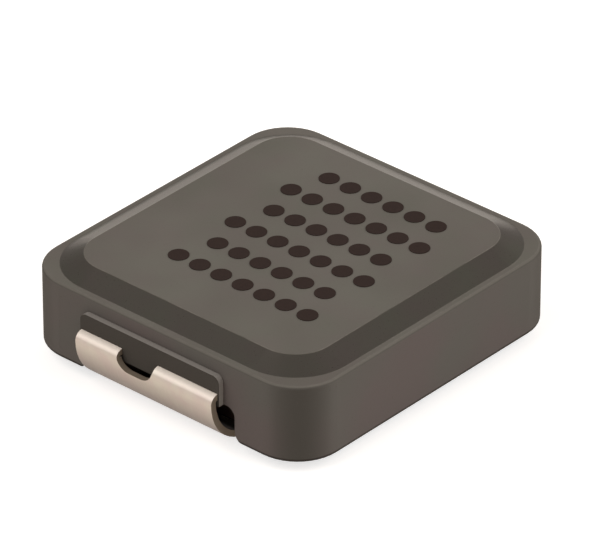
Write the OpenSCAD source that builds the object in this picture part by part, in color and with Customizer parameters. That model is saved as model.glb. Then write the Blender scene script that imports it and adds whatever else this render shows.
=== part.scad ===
// Moulded surface-mount power inductor: a pressed powder core round a two-layer winding,
// with a folded strip terminal at each end.
// X runs from terminal to terminal, Z is up, and the origin is the middle of the footprint
// on the plane of the two solder pads.

/* [Core] */
// Length of the core from end wall to end wall
core_l = 6.92; // [6.6:0.01:7.6]
// Width of the core
core_w = 6.57; // [6:0.01:7.2]
// Height of the rim above the underside
rim_h = 1.53; // [1.45:0.01:2.2]
// Radius of the four upright corners
corner_r = 0.9; // [0.6:0.05:1.1]
// Rounding of the bottom edge and of the outer edge of the rim
edge_r = 0.06; // [0.03:0.01:0.1]
// Width of the flat rim round the raised top
rim_w = 0.14; // [0.08:0.01:0.25]
// Run of the slope from the rim to the raised top
slope_run = 0.44; // [0.3:0.01:0.6]
// Rise of the raised top above the rim
slope_rise = 0.21; // [0.1:0.01:0.3]
// Corner radius at the foot of the slope
slope_r = 1.15; // [0.9:0.05:1.4]

/* [End boss and terminal bay] */
// How far the boss stands out of the end wall
boss_proud = 0.125; // [0.06:0.005:0.2]
// Height of the boss's top above the underside
boss_top = 1.25; // [1.15:0.01:1.35]
// Core left on the boss at each side of the strip
boss_side = 0.03; // [0.02:0.01:0.1]
// Radius of the boss's upper corners
boss_r = 0.14; // [0.08:0.01:0.25]
// Depth of the bay into the end wall
bay_d = 0.5; // [0.45:0.01:0.6]
// Height of the bay's ceiling above the underside
bay_h = 0.67; // [0.58:0.01:0.72]
// Room in the bay between the strip and the nearer side of the bay
bay_side = 0.02; // [0.01:0.01:0.2]
// Radius of the bay's upper corners
bay_r = 0.18; // [0.1:0.01:0.25]
// Radius on the feet, where the bay meets the underside
foot_r = 0.23; // [0.1:0.01:0.3]

/* [Terminals] */
// Height of the underside above the board
standoff = 0.24; // [0.2:0.01:0.4]
// Thickness of the strip
strip_t = 0.12; // [0.09:0.005:0.16]
// Width of the strip
strip_w = 3.18; // [2.6:0.02:3.4]
// Sideways offset of each strip from the centre line
strip_offset = 0.13; // [0:0.01:0.25]
// Height of the strip's middle above the underside, where it leaves the boss
exit_h = 0.86; // [0.8:0.01:0.95]
// Inside radius of the upper bend, which is also the gap between strip and boss
bend_r = 0.045; // [0.02:0.005:0.08]
// Length of the flat solder pad
pad_l = 0.8; // [0.5:0.05:1.2]
// Width of the notch that is punched through the upper bend
notch_w = 0.84; // [0.6:0.02:1.2]
// Sideways offset of the notch from the middle of the strip
notch_offset = 0.21; // [0:0.01:0.5]
// Depth of the notch below the top of the strip
notch_drop = 0.33; // [0.25:0.01:0.4]
// Reach of the notch into the boss
notch_reach = 0.3; // [0.15:0.01:0.5]
// Corner radius of the notch
notch_r = 0.29; // [0.15:0.01:0.29]

/* [Winding] */
// Diameter of the wire
wire_d = 0.32; // [0.26:0.01:0.34]
// Distance from turn to turn
turn_pitch = 0.38; // [0.36:0.01:0.4]
// Whole turns in each of the two layers
turns = 3; // [1:1:3]
// Radius of the innermost half turn, to the middle of the wire
inner_r = 0.95; // [0.8:0.01:1]
// How much thinner the wire is squeezed, on each side, where it crosses from layer to layer
squeeze = 0.01; // [0.005:0.005:0.03]
// Radius of the bend in each lead
lead_r = 0.4; // [0.3:0.01:0.45]
// Room between the outermost turn and the end of the terminal's tab
tab_gap = 0.045; // [0.03:0.005:0.1]
// Length of each lead that lies on its tab
weld_l = 0.44; // [0.4:0.01:0.5]
// Depth of the flat that the weld presses into the wire
weld_flat = 0.03; // [0.02:0.005:0.05]

/* [Printed dots] */
// Diameter of a dot
dot_d = 0.38; // [0.2:0.01:0.45]
// Thickness of the ink
dot_t = 0.012; // [0.008:0.001:0.03]
// Rows of dots, counted along X
dot_rows = 6; // [1:1:6]
// Dots in a long row; every second row has one less
dot_cols = 7; // [2:1:7]
// Distance from row to row
row_pitch = 0.74; // [0.5:0.01:0.8]
// Distance from dot to dot in a row
col_pitch = 0.5; // [0.46:0.01:0.55]
// Middle of the print, along X
print_x = 0.22; // [-0.3:0.01:0.3]
// Middle of the print, along Y
print_y = -0.29; // [-0.3:0.01:0.3]

/* [Hidden] */
$fn = 96;
eps = 0.2;

top_z = standoff + rim_h + slope_rise;
face_x = core_l / 2 + boss_proud;

// Terminal: the tab between its two faces, the upper bend, and the lower bend, which goes on
// from it down to the board
tab_top = standoff + exit_h + strip_t / 2;
tab_low = tab_top - strip_t;
bend_z = tab_low - bend_r;
bend_out = bend_r + strip_t;
roll_r = bend_z;
roll_x = face_x + bend_out - roll_r;

// Winding: two mirrored spirals of half turns, each tangent to the next
half_turns = 2 * turns;
quarter_pitch = turn_pitch / 4;
start_x = inner_r - quarter_pitch;
end_x = inner_r + (half_turns - 1) * turn_pitch / 2 + quarter_pitch;
upper_z = tab_top + wire_d / 2 - weld_flat;
lower_z = tab_low - wire_d / 2 + weld_flat;
layer_drop = upper_z - lower_z;
wind_z = (upper_z + lower_z) / 2;
tab_x = end_x + wire_d / 2 + tab_gap;
lead_l = tab_x + weld_l - end_x - lead_r;

// Block with upright corners of radius r and both outer edges rounded by e
module round_block(l, w, h, r, e) {
    for (sx = [-1, 1], sy = [-1, 1])
        translate([sx * (l / 2 - r), sy * (w / 2 - r), 0])
            rotate_extrude() {
                translate([0, e])
                    square([r, h - 2 * e]);
                square([r - e, h]);
                for (z = [e, h - e])
                    translate([r - e, z])
                        circle(e);
            }
    rotate([90, 0, 0])
        linear_extrude(w - 2 * r, center = true)
            block_section(l, h, e);
    rotate([90, 0, 90])
        linear_extrude(l - 2 * r, center = true)
            block_section(w, h, e);
}

// Rounded rectangle of width l and height h that stands on y = 0
module block_section(l, h, e) {
    translate([-l / 2, e])
        square([l, h - 2 * e]);
    translate([e - l / 2, 0])
        square([l - 2 * e, h]);
    for (s = [-1, 1], z = [e, h - e])
        translate([s * (l / 2 - e), z])
            circle(e);
}

// Raised top with corners of radius r at its foot, which narrows by run while it rises by h
module sloped_block(l, w, h, r, run) {
    for (sx = [-1, 1], sy = [-1, 1])
        translate([sx * (l / 2 - r), sy * (w / 2 - r), 0])
            cylinder(h, r, r - run);
    rotate([90, 0, 0])
        linear_extrude(w - 2 * r, center = true)
            slope_section(l, h, run);
    rotate([90, 0, 90])
        linear_extrude(l - 2 * r, center = true)
            slope_section(w, h, run);
}

// Trapezium of foot length l and height h
module slope_section(l, h, run) {
    polygon([[-l / 2, 0], [l / 2, 0], [l / 2 - run, h], [run - l / 2, h]]);
}

// U outline of width w and height h that stands on y = 0, with both lower corners rounded
module u_outline(w, h, r) {
    translate([-w / 2, r])
        square([w, h - r]);
    translate([r - w / 2, 0])
        square([w - 2 * r, h]);
    for (s = [-1, 1])
        translate([s * (w / 2 - r), r])
            circle(r);
}

// Turns an outline drawn in Y and Z into a solid along X, from x0 to x1
module along_x(x0, x1) {
    translate([x0, 0, 0])
        rotate([90, 0, 90])
            linear_extrude(x1 - x0)
                children();
}

// Core without its hollows
module core_blank() {
    translate([0, 0, standoff])
        round_block(core_l, core_w, rim_h, corner_r, edge_r);
    translate([0, 0, standoff + rim_h])
        sloped_block(core_l - 2 * rim_w, core_w - 2 * rim_w, slope_rise, slope_r, slope_run);
    both_ends()
        boss();
}

// The same thing at both ends, the far one turned by half a turn
module both_ends() {
    children();
    rotate([0, 0, 180])
        children();
}

// Boss that carries the terminal where it leaves the core, at the +X end
module boss() {
    along_x(core_l / 2 - bay_d, face_x)
        translate([-strip_offset, standoff + boss_top])
            mirror([0, 1])
                u_outline(strip_w + 2 * boss_side, boss_top - bay_h, boss_r);
}

// Bay under the boss, in which the terminal rolls under the core, with rounded feet beside it
module bay() {
    half = strip_w / 2 + strip_offset + bay_side;
    along_x(core_l / 2 - bay_d, face_x + eps)
        translate([0, standoff]) {
            translate([0, bay_h])
                mirror([0, 1])
                    u_outline(2 * half, bay_h + eps, bay_r);
            for (s = [-1, 1])
                mirror([s < 0 ? 1 : 0, 0])
                    difference() {
                        translate([half - foot_r, -eps])
                            square([2 * foot_r, foot_r + eps]);
                        translate([half + foot_r, foot_r])
                            circle(foot_r);
                    }
        }
}

// Quarter bend of the strip about Y, from angle a upwards, with inside radius r
module strip_bend(r, a) {
    rotate([90, 0, 0])
        rotate([0, 0, a])
            rotate_extrude(angle = 90)
                translate([r, -strip_w / 2])
                    square([strip_t, strip_w]);
}

// Strip of the +X end without its notch, with y = 0 in the middle of its width
module strip_blank() {
    translate([tab_x, -strip_w / 2, tab_low])
        cube([face_x - tab_x, strip_w, strip_t]);
    translate([face_x, 0, bend_z])
        strip_bend(bend_r, 0);
    translate([roll_x, 0, roll_r])
        strip_bend(roll_r - strip_t, -90);
    translate([roll_x - pad_l, -strip_w / 2, 0])
        cube([pad_l, strip_w, strip_t]);
}

// Notch through the upper bend: a flat cut inside the boss, an upright cut outside it,
// and its lower end carried in below the tab, where the strip leans towards the core
module notch() {
    translate([0, -notch_offset, 0]) {
        translate([face_x - notch_reach, 0, tab_low - bend_r / 2])
            rotate([0, 0, -90])
                linear_extrude(strip_t + bend_r)
                    u_outline(notch_w, notch_reach + bend_r, notch_r);
        along_x(face_x, face_x + bend_out + eps)
            notch_outline();
        along_x(face_x - strip_t, face_x + bend_r)
            intersection() {
                notch_outline();
                translate([-notch_w, 0])
                    square([2 * notch_w, tab_low - bend_r / 2]);
            }
    }
}

// Notch as seen from the end
module notch_outline() {
    translate([0, tab_top - notch_drop])
        u_outline(notch_w, notch_drop + eps, notch_r);
}

// Terminal of the +X end
module terminal() {
    translate([0, -strip_offset, 0])
        difference() {
            strip_blank();
            notch();
        }
}

// Half turn of wire of diameter d with radius r about the origin, on the +Y side
module half_turn(r, d) {
    rotate_extrude(angle = 180)
        translate([r, 0])
            circle(d / 2);
}

// One flat layer, wound outwards from +X, with its lead bent out to the tab
module layer() {
    for (k = [0:half_turns - 1]) {
        odd = k % 2;
        translate([(2 * odd - 1) * quarter_pitch, 0, 0])
            rotate([0, 0, 180 * odd])
                half_turn(inner_r + k * turn_pitch / 2, wire_d);
    }
    translate([end_x + lead_r, 0, 0])
        rotate([0, 0, 90])
            rotate_extrude(angle = 90)
                translate([lead_r, 0])
                    circle(wire_d / 2);
    translate([end_x + lead_r, lead_r, 0])
        rotate([0, 90, 0])
            cylinder(d = wire_d, h = lead_l);
}

// The whole wire: lower layer, tilted half turn between the layers, upper layer
module wire() {
    translate([0, 0, lower_z])
        layer();
    translate([0, 0, wind_z])
        rotate([0, atan2(layer_drop, 2 * start_x), 0])
            rotate([0, 0, 180])
                half_turn(norm([start_x, layer_drop / 2]), wire_d - 2 * squeeze);
    translate([0, 0, upper_z])
        mirror([1, 0, 0])
            layer();
}

module moulded_core() {
    color([0.4, 0.38, 0.36])
        difference() {
            core_blank();
            both_ends()
                bay();
            both_ends()
                terminal();
            wire();
        }
}

module winding() {
    color([0.72, 0.42, 0.24])
        difference() {
            wire();
            both_ends()
                terminal();
        }
}

module terminal_right() {
    color([0.84, 0.78, 0.71])
        terminal();
}

module terminal_left() {
    color([0.84, 0.78, 0.71])
        rotate([0, 0, 180])
            terminal();
}

module ink_dots() {
    color([0.23, 0.18, 0.16])
        translate([print_x, print_y, top_z])
            for (i = [0:dot_rows - 1], j = [0:dot_cols - 1 - i % 2])
                translate([
                    (i - (dot_rows - 1) / 2) * row_pitch,
                    (j - (dot_cols - 1 - i % 2) / 2) * col_pitch,
                    0
                ])
                    cylinder(d = dot_d, h = dot_t);
}

moulded_core();
winding();
terminal_left();
terminal_right();
ink_dots();
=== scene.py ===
import math

import bpy
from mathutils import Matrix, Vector


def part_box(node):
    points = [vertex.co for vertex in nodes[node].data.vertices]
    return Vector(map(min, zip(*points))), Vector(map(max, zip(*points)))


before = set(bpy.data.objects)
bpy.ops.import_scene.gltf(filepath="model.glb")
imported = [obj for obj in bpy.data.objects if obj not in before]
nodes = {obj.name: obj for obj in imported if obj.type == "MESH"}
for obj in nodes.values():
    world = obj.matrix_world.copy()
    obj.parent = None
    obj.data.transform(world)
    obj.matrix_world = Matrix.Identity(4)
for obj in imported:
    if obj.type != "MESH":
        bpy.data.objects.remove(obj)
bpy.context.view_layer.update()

MM = 0.001
scene = bpy.context.scene

# Sizes of the core that no box gives, in mm
BOSS_PROUD = 0.125
SLOPE_RISE = 0.21
BAY_HEIGHT = 0.67
BAY_DEPTH = 0.5
BAY_SIDE_GAP = 0.02

# Places that the materials go by, in mm
core_low, core_high = [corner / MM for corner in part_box("moulded_core")]
strip_low, strip_high = [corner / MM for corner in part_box("terminal_left")]
UNDERSIDE = core_low.z
TOP_Z = core_high.z
RIM_Z = TOP_Z - SLOPE_RISE
BOSS_X = core_high.x
WALL_X = BOSS_X - BOSS_PROUD
BAY_TOP = UNDERSIDE + BAY_HEIGHT
BAY_X = WALL_X - BAY_DEPTH
BAY_HALF_WIDTH = max(-strip_low.y, strip_high.y) + BAY_SIDE_GAP
TAB_TOP = strip_high.z


class Tree:
    """Node tree of a material or a world, with short calls to add and link nodes."""

    def __init__(self, owner):
        owner.use_nodes = True
        self.owner = owner
        self.nodes = owner.node_tree.nodes
        self.links = owner.node_tree.links
        self.nodes.clear()
        kind = "World" if isinstance(owner, bpy.types.World) else "Material"
        self.out = self.nodes.new("ShaderNodeOutput" + kind)

    def add(self, kind, **sockets):
        """New node with its sockets set. A socket's name has _ for each space."""
        node = self.nodes.new(kind)
        for name, value in sockets.items():
            self.put(node.inputs[name.replace("_", " ")], value)
        return node

    def put(self, socket, value):
        """Links a socket to another one, or gives it a value."""
        if isinstance(value, bpy.types.NodeSocket):
            self.links.new(value, socket)
        else:
            socket.default_value = value

    def coordinate(self, kind="Object"):
        return self.add("ShaderNodeTexCoord").outputs[kind]

    def axes(self, vector):
        return self.add("ShaderNodeSeparateXYZ", Vector=vector).outputs

    def noise(self, size_mm, detail, rough, at=None):
        """Noise from 0 to 1 with patches of about that size."""
        node = self.add(
            "ShaderNodeTexNoise",
            Vector=at or self.coordinate(),
            Scale=1 / (size_mm * MM),
            Detail=detail,
            Roughness=rough,
        )
        return node.outputs["Fac"]

    def ramp(self, value, low, high, out_low=0.0, out_high=1.0):
        """Runs from out_low at low to out_high at high, and is level beyond them."""
        node = self.add(
            "ShaderNodeMapRange",
            Value=value,
            From_Min=low,
            From_Max=high,
            To_Min=out_low,
            To_Max=out_high,
        )
        return node.outputs["Result"]

    def spread(self, noise, low, high):
        """Value that wanders from low to high with a noise."""
        return self.ramp(noise, 0.3, 0.7, low, high)

    def over(self, place, edge_mm, soft_mm=0.01):
        """1 where a place is past an edge, 0 before it."""
        return self.ramp(place, (edge_mm - soft_mm) * MM, (edge_mm + soft_mm) * MM)

    def under(self, place, edge_mm, soft_mm=0.01):
        """1 where a place is before an edge, 0 past it."""
        return self.opposite(self.over(place, edge_mm, soft_mm))

    def math(self, operation, a, b=0.0):
        node = self.nodes.new("ShaderNodeMath")
        node.operation = operation
        self.put(node.inputs[0], a)
        self.put(node.inputs[1], b)
        return node.outputs[0]

    def without_sign(self, value):
        return self.math("ABSOLUTE", value)

    def times(self, a, b):
        return self.math("MULTIPLY", a, b)

    def all_of(self, *shares):
        """Where every share holds."""
        product = shares[0]
        for share in shares[1:]:
            product = self.times(product, share)
        return product

    def either(self, *shares):
        """Where any share holds."""
        most = shares[0]
        for share in shares[1:]:
            most = self.math("MAXIMUM", most, share)
        return most

    def opposite(self, share):
        return self.math("SUBTRACT", 1.0, share)

    def mix(self, share, a, b):
        node = self.nodes.new("ShaderNodeMix")
        node.data_type = "RGBA"
        sockets = {socket.identifier: socket for socket in node.inputs}
        for name, value in (("Factor_Float", share), ("A_Color", a), ("B_Color", b)):
            self.put(sockets[name], value)
        return next(socket for socket in node.outputs if socket.identifier == "Result_Color")

    def drift(self, noise, a, b):
        """Colour that wanders between two with a noise."""
        return self.mix(self.ramp(noise, 0.35, 0.65), a, b)

    def paint(self, tone, *coats):
        """Lays coats over a tone in turn. Each coat is the share that it covers, and its colour."""
        for share, colour in coats:
            tone = self.mix(share, tone, colour)
        return tone

    def bump(self, height, depth_mm, strength):
        node = self.add("ShaderNodeBump", Strength=strength, Distance=depth_mm * MM, Height=height)
        return node.outputs["Normal"]

    def show(self, shader):
        self.links.new(shader.outputs[0], self.out.inputs["Surface"])
        return self.owner

    def surface(self, **sockets):
        return self.show(self.add("ShaderNodeBsdfPrincipled", **sockets))


def new_material(name):
    return Tree(bpy.data.materials.new(name))


def rgb(*levels):
    """Linear colour from sRGB levels of 0 to 255."""
    shares = [level / 255 for level in levels]
    linear = [s / 12.92 if s <= 0.04045 else ((s + 0.055) / 1.055) ** 2.4 for s in shares]
    return (*linear, 1.0)


# Tones of the powder core. The level top and the walls are painted lighter than the slopes, as painted
# light and shade on one material; the drift between each pair is the core's own patchy tone.
PAINTED_SHADE_SLOPE_TONES = rgb(60, 59, 53), rgb(61, 56, 53)
PALE_PAINTED_LIT_TOP_TONES = rgb(92, 90, 83), rgb(92, 87, 82)
DEEP_PAINTED_LIT_TOP_TONES = rgb(84, 82, 75), rgb(86, 80, 76)
PAINTED_LIT_WALL_TONES = rgb(89, 81, 79), rgb(86, 83, 79)
PAINTED_HIGHLIGHT_RIM_EDGE_TONE = rgb(98, 94, 88)
PAINTED_HIGHLIGHT_TOP_EDGE_TONE = rgb(112, 107, 100)
PAINTED_HIGHLIGHT_BOSS_SIDE_TONE = rgb(137, 131, 126)
PAINTED_SHADE_BOSS_FACE_TONE = rgb(62, 58, 54)
PAINTED_SHADE_CORNER_TONE = rgb(66, 63, 59)
PAINTED_SHADE_BOTTOM_LINE_TONE = rgb(38, 34, 32)
DARK_GRAIN = rgb(43, 40, 36)
PALE_GRAIN = rgb(106, 99, 92)
PAINTED_SHADE_BAY_TONE = rgb(66, 48, 42)
CORE_GLOSS_TINT = (1.0, 0.885, 0.765, 1.0)

# Least roughness of some faces of the core
LEVEL_ROUGHNESS = 0.45
WALL_ROUGHNESS = 0.85


def inside_bay(tree, x, y, z):
    """Share of the core's faces inside the bays behind the strips. x and y have no sign."""
    return tree.all_of(
        tree.over(x, BAY_X - 0.03),
        tree.under(x, WALL_X - 0.05, soft_mm=0.04),
        tree.over(z, UNDERSIDE + 0.03),
        tree.under(z, BAY_TOP + 0.02),
        tree.under(y, BAY_HALF_WIDTH + 0.02),
    )


def powder_core():
    """Pressed iron powder: fine grain and slow clouds, with painted light and shade as a tone for each kind
    of face and edge.
    """
    tree = new_material("powder_core")
    grain = tree.noise(size_mm=0.028, detail=3, rough=0.6)
    cloud = tree.noise(size_mm=0.9, detail=3, rough=0.55)
    patch = tree.noise(size_mm=2.2, detail=2, rough=0.5)
    x, y, z = tree.axes(tree.coordinate())
    x = tree.without_sign(x)
    y = tree.without_sign(y)
    nx, ny, nz = tree.axes(tree.coordinate("Normal"))

    # Faces, by the way they point and by their place
    level = tree.ramp(nz, low=0.96, high=0.99)
    wall = tree.ramp(nz, low=0.5, high=0.2)
    below_rim = tree.under(z, RIM_Z + 0.004, soft_mm=0.002)
    on_boss = tree.over(x, WALL_X + 0.01, soft_mm=0.005)
    boss_face = tree.over(x, BOSS_X - 0.006, soft_mm=0.003)
    boss_side = tree.all_of(on_boss, tree.opposite(boss_face))
    in_bay = inside_bay(tree, x, y, z)

    # Edges: painted highlights above, painted shade at the corners and along the bottom
    rim_turn = tree.all_of(tree.ramp(nz, low=0.25, high=0.75), tree.ramp(nz, low=0.9995, high=0.98))
    # Painted highlight on the rounded outer edge of the rim
    rim_edge_highlight = tree.all_of(rim_turn, below_rim)
    top_turn = tree.all_of(
        tree.over(z, TOP_Z - 0.005, soft_mm=0.003),
        tree.ramp(nz, low=0.985, high=0.95),
    )
    # Painted highlight along the top edge of the slopes, patchy with the clouds
    top_edge_highlight = tree.all_of(top_turn, tree.ramp(cloud, low=0.35, high=0.6, out_low=0.35))
    # Painted shade on the upright corners of the walls
    corner = tree.ramp(tree.without_sign(tree.times(nx, ny)), low=0.1, high=0.5)
    # Painted shade: a dark line along the rounded bottom edge
    not_underneath = tree.ramp(nz, low=-0.999, high=-0.97)
    bottom_shade_line = tree.all_of(tree.under(z, UNDERSIDE + 0.07, soft_mm=0.012), not_underneath)

    top_pale = tree.drift(cloud, *PALE_PAINTED_LIT_TOP_TONES)
    top_deep = tree.drift(cloud, *DEEP_PAINTED_LIT_TOP_TONES)
    # Slopes painted darker and the level top and walls painted lighter: painted light and shade
    tone = tree.paint(
        tree.drift(cloud, *PAINTED_SHADE_SLOPE_TONES),
        (level, tree.drift(patch, top_pale, top_deep)),
        (wall, tree.mix(tree.ramp(patch, low=0.42, high=0.6), *PAINTED_LIT_WALL_TONES)),
        (rim_edge_highlight, PAINTED_HIGHLIGHT_RIM_EDGE_TONE),
        (top_edge_highlight, PAINTED_HIGHLIGHT_TOP_EDGE_TONE),
        # Painted highlight on the boss's top and sides
        (boss_side, PAINTED_HIGHLIGHT_BOSS_SIDE_TONE),
        # Painted shade on the boss's front face
        (boss_face, PAINTED_SHADE_BOSS_FACE_TONE),
        (corner, PAINTED_SHADE_CORNER_TONE),
        (bottom_shade_line, PAINTED_SHADE_BOTTOM_LINE_TONE),
        (tree.ramp(grain, low=0.36, high=0.24, out_high=0.4), DARK_GRAIN),
        (tree.ramp(grain, low=0.66, high=0.78, out_high=0.35), PALE_GRAIN),
        # Painted shade inside the bays behind the strips
        (in_bay, PAINTED_SHADE_BAY_TONE),
    )
    dull = tree.all_of(below_rim, tree.ramp(nz, low=0.999, high=0.95), WALL_ROUGHNESS)
    rough = tree.either(
        tree.spread(grain, low=0.33, high=0.27),
        tree.times(level, LEVEL_ROUGHNESS),
        in_bay,
        dull,
        boss_face,
    )
    return tree.surface(
        Base_Color=tone,
        Roughness=rough,
        Specular_Tint=CORE_GLOSS_TINT,
        Normal=tree.bump(grain, depth_mm=0.004, strength=0.2),
    )


# Tones of the tinned strip
TIN_TONES = rgb(210, 194, 185), rgb(213, 204, 190)
PAINTED_HIGHLIGHT_BEND_TONE = rgb(243, 231, 219)
PAINTED_SHADE_FOOT_TONE = rgb(132, 120, 115)
CUT_TONE = rgb(138, 124, 108)
PAINTED_SHADE_INNER_SIDE_TONE = rgb(52, 42, 36)

# Heights between which painted shade darkens the strip towards its foot, in mm
FOOT_START = 0.95
FOOT_END = 0.35

# The strip bends about Y, so streaks along it are long in X and Z
STREAK_SCALE = (0.12, 1.0, 0.12)

# Least roughness of the bend and of the cut edges
BARE_ROUGHNESS = 0.6


def tinned_strip():
    """Tin over copper: streaks along the strip, a painted highlight on the upper bend, painted shade
    towards the foot and on the inner side, and bare cut edges.
    """
    tree = new_material("tinned_strip")
    place = tree.coordinate()
    axes = tree.axes(place)
    x = axes["X"]
    z = axes["Z"]
    nx, ny, nz = tree.axes(tree.coordinate("Normal"))
    stretched = tree.add("ShaderNodeMapping", Vector=place, Scale=STREAK_SCALE).outputs[0]
    streak = tree.noise(size_mm=0.05, detail=3, rough=0.6, at=stretched)
    cloud = tree.noise(size_mm=0.35, detail=3, rough=0.5)

    bend = tree.over(z, TAB_TOP - 0.05, soft_mm=0.05)
    # Painted shade that darkens the strip towards its foot
    foot = tree.ramp(z, low=FOOT_START * MM, high=FOOT_END * MM, out_high=0.9)
    cut_end = tree.ramp(tree.without_sign(ny), low=0.15, high=0.3)
    # Faces that point up below the bend, such as the notch's lower edge
    low_ledge = tree.all_of(tree.ramp(nz, low=0.85, high=0.95), tree.under(z, TAB_TOP - 0.15))
    bare_cut = tree.either(cut_end, low_ledge)
    outward = tree.times(nx, tree.math("SIGN", x))
    # Painted shade on the strip's inner side, which faces the core
    inner_side_shade = tree.ramp(outward, low=-0.1, high=-0.25)
    tone = tree.paint(
        tree.drift(cloud, *TIN_TONES),
        # Painted highlight on the upper bend
        (bend, PAINTED_HIGHLIGHT_BEND_TONE),
        (foot, PAINTED_SHADE_FOOT_TONE),
        (bare_cut, CUT_TONE),
        (inner_side_shade, PAINTED_SHADE_INNER_SIDE_TONE),
    )
    rough = tree.either(
        tree.spread(streak, low=0.36, high=0.48),
        tree.times(tree.either(bare_cut, bend), BARE_ROUGHNESS),
    )
    return tree.surface(
        Base_Color=tone,
        Metallic=tree.ramp(bend, low=0, high=1, out_low=0.45, out_high=0.1),
        Roughness=rough,
        Normal=tree.bump(streak, depth_mm=0.002, strength=0.3),
    )


COPPER_TONES = rgb(184, 98, 52), rgb(202, 116, 66)
INK_TONES = rgb(45, 34, 31), rgb(53, 41, 37)


def copper_wire():
    """Copper under clear enamel."""
    tree = new_material("copper_wire")
    cloud = tree.noise(size_mm=0.25, detail=3, rough=0.5)
    return tree.surface(
        Base_Color=tree.drift(cloud, *COPPER_TONES),
        Metallic=1.0,
        Roughness=tree.spread(cloud, low=0.28, high=0.4),
        Coat_Weight=0.6,
    )


def ink():
    """Dull printed ink."""
    tree = new_material("ink")
    grain = tree.noise(size_mm=0.03, detail=3, rough=0.6)
    return tree.surface(
        Base_Color=tree.drift(grain, *INK_TONES),
        Roughness=tree.spread(grain, low=0.6, high=0.75),
        Specular_IOR_Level=0.1,
        Normal=tree.bump(grain, depth_mm=0.003, strength=0.3),
    )


# Faces that meet at a larger angle than this keep a crisp edge
CRISP_ANGLE = math.radians(14)

# Say of the large faces in the normals, where 50 is neutral
LARGE_FACE_WEIGHT = 100


def dress(name, material):
    """Gives a node its material and its smooth shading."""
    node = nodes[name]
    node.data.materials.clear()
    node.data.materials.append(material)
    for face in node.data.polygons:
        face.use_smooth = True
    split = node.modifiers.new("crisp_edges", "EDGE_SPLIT")
    split.split_angle = CRISP_ANGLE
    even = node.modifiers.new("flat_faces_stay_flat", "WEIGHTED_NORMAL")
    even.weight = LARGE_FACE_WEIGHT


dress("moulded_core", powder_core())
dress("winding", copper_wire())
tin = tinned_strip()
dress("terminal_left", tin)
dress("terminal_right", tin)
dress("ink_dots", ink())


# Floor and light
FLOOR_HALF = 0.6
PAPER = (0.72, 0.68, 0.64, 1)
CAMERA_GLOW = 0.64
CAMERA_TINT = (0.98, 0.99, 1.0, 1)
MIRROR_GLOW = 0.37
MIRROR_TINT = (1, 0.9, 0.8, 1)
WORLD_LEVEL = 0.3
WORLD_TINT = (1.0, 0.93, 0.85, 1.0)
WARM_LAMP = (1.0, 0.945, 0.87)
WHITE_LAMP = (1.0, 1.0, 1.0)
LAMP_DISTANCE = 0.3


def white_floor():
    """Floor that looks white and keeps the object's shadow."""
    mesh = bpy.data.meshes.new("floor")
    sides = [(-1, -1), (1, -1), (1, 1), (-1, 1)]
    corners = [(across * FLOOR_HALF, along * FLOOR_HALF, 0) for across, along in sides]
    mesh.from_pydata(corners, [], [(0, 1, 2, 3)])
    floor = bpy.data.objects.new("floor", mesh)
    scene.collection.objects.link(floor)
    tree = new_material("floor_white")
    path = tree.add("ShaderNodeLightPath").outputs
    seen = path["Is Camera Ray"]
    mirrored = tree.either(path["Is Glossy Ray"], path["Is Transmission Ray"])
    strength = tree.either(tree.times(seen, CAMERA_GLOW), tree.times(mirrored, MIRROR_GLOW))
    tint = tree.mix(seen, MIRROR_TINT, CAMERA_TINT)
    paper = tree.add("ShaderNodeBsdfDiffuse", Color=PAPER)
    glow = tree.add("ShaderNodeEmission", Color=tint, Strength=strength)
    both = tree.add("ShaderNodeAddShader")
    tree.put(both.inputs[0], paper.outputs[0])
    tree.put(both.inputs[1], glow.outputs[0])
    mesh.materials.append(tree.show(both))


def studio_world():
    """Even dim surroundings."""
    scene.world = bpy.data.worlds.new("studio")
    tree = Tree(scene.world)
    tree.show(tree.add("ShaderNodeBackground", Color=WORLD_TINT, Strength=WORLD_LEVEL))


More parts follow.
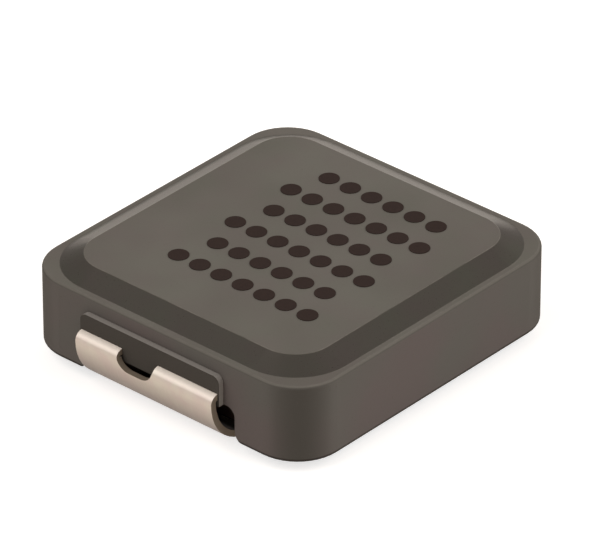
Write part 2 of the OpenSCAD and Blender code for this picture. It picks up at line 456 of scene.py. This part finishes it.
def sun(name, azimuth, elevation, level, angle, colour):
    """Far soft lamp from that azimuth, counted in degrees from +X towards +Y.

    Level 1 lights a white that faces the lamp to white.
    """
    data = bpy.data.lights.new(name, "SUN")
    data.energy = level * math.pi
    data.angle = math.radians(angle)
    data.color = colour
    lamp = bpy.data.objects.new(name, data)
    scene.collection.objects.link(lamp)
    turn = math.radians(azimuth)
    rise = math.radians(elevation)
    level_reach = math.cos(rise)
    to_lamp = Vector((math.cos(turn) * level_reach, math.sin(turn) * level_reach, math.sin(rise)))
    lamp.rotation_mode = "QUATERNION"
    lamp.rotation_quaternion = to_lamp.to_track_quat("Z", "Y")
    lamp.location = to_lamp * LAMP_DISTANCE


white_floor()
studio_world()
sun("window_behind", azimuth=29, elevation=37, level=0.07, angle=38, colour=WARM_LAMP)
sun("fill_left", azimuth=152, elevation=44, level=0.5, angle=60, colour=WHITE_LAMP)
sun("fill_right", azimuth=298, elevation=32, level=0.58, angle=60, colour=WHITE_LAMP)

# Camera at the picture's view: the point AIM is seen at the pixel AIM_PX, from DISTANCE metres
AZIMUTH = math.radians(-48.47)
ELEVATION = math.radians(32.051)
WIDTH_PX = 598
HEIGHT_PX = 544
FOCAL_PX = 6809.65
AIM = Vector((-0.035, -0.035, 0.28)) * MM
AIM_PX = (292.612, 326.31)
DISTANCE = 0.12012
SENSOR_MM = 36
CLIP_NEAR = 0.01
CLIP_FAR = 2


def picture_camera():
    """Camera that frames the object as the picture does."""
    data = bpy.data.cameras.new("camera")
    camera = bpy.data.objects.new("camera", data)
    scene.collection.objects.link(camera)
    scene.camera = camera
    level_reach = math.cos(ELEVATION)
    back = Vector((
        math.sin(AZIMUTH) * level_reach,
        -math.cos(AZIMUTH) * level_reach,
        math.sin(ELEVATION),
    ))
    camera.location = AIM + back * DISTANCE
    camera.rotation_mode = "QUATERNION"
    camera.rotation_quaternion = (-back).to_track_quat("-Z", "Y")
    data.sensor_fit = "HORIZONTAL"
    data.sensor_width = SENSOR_MM
    data.lens = SENSOR_MM * FOCAL_PX / WIDTH_PX
    data.shift_x = (WIDTH_PX / 2 - AIM_PX[0]) / WIDTH_PX
    data.shift_y = (AIM_PX[1] - HEIGHT_PX / 2) / WIDTH_PX
    data.clip_start = CLIP_NEAR
    data.clip_end = CLIP_FAR


picture_camera()

scene.view_settings.view_transform = "Standard"
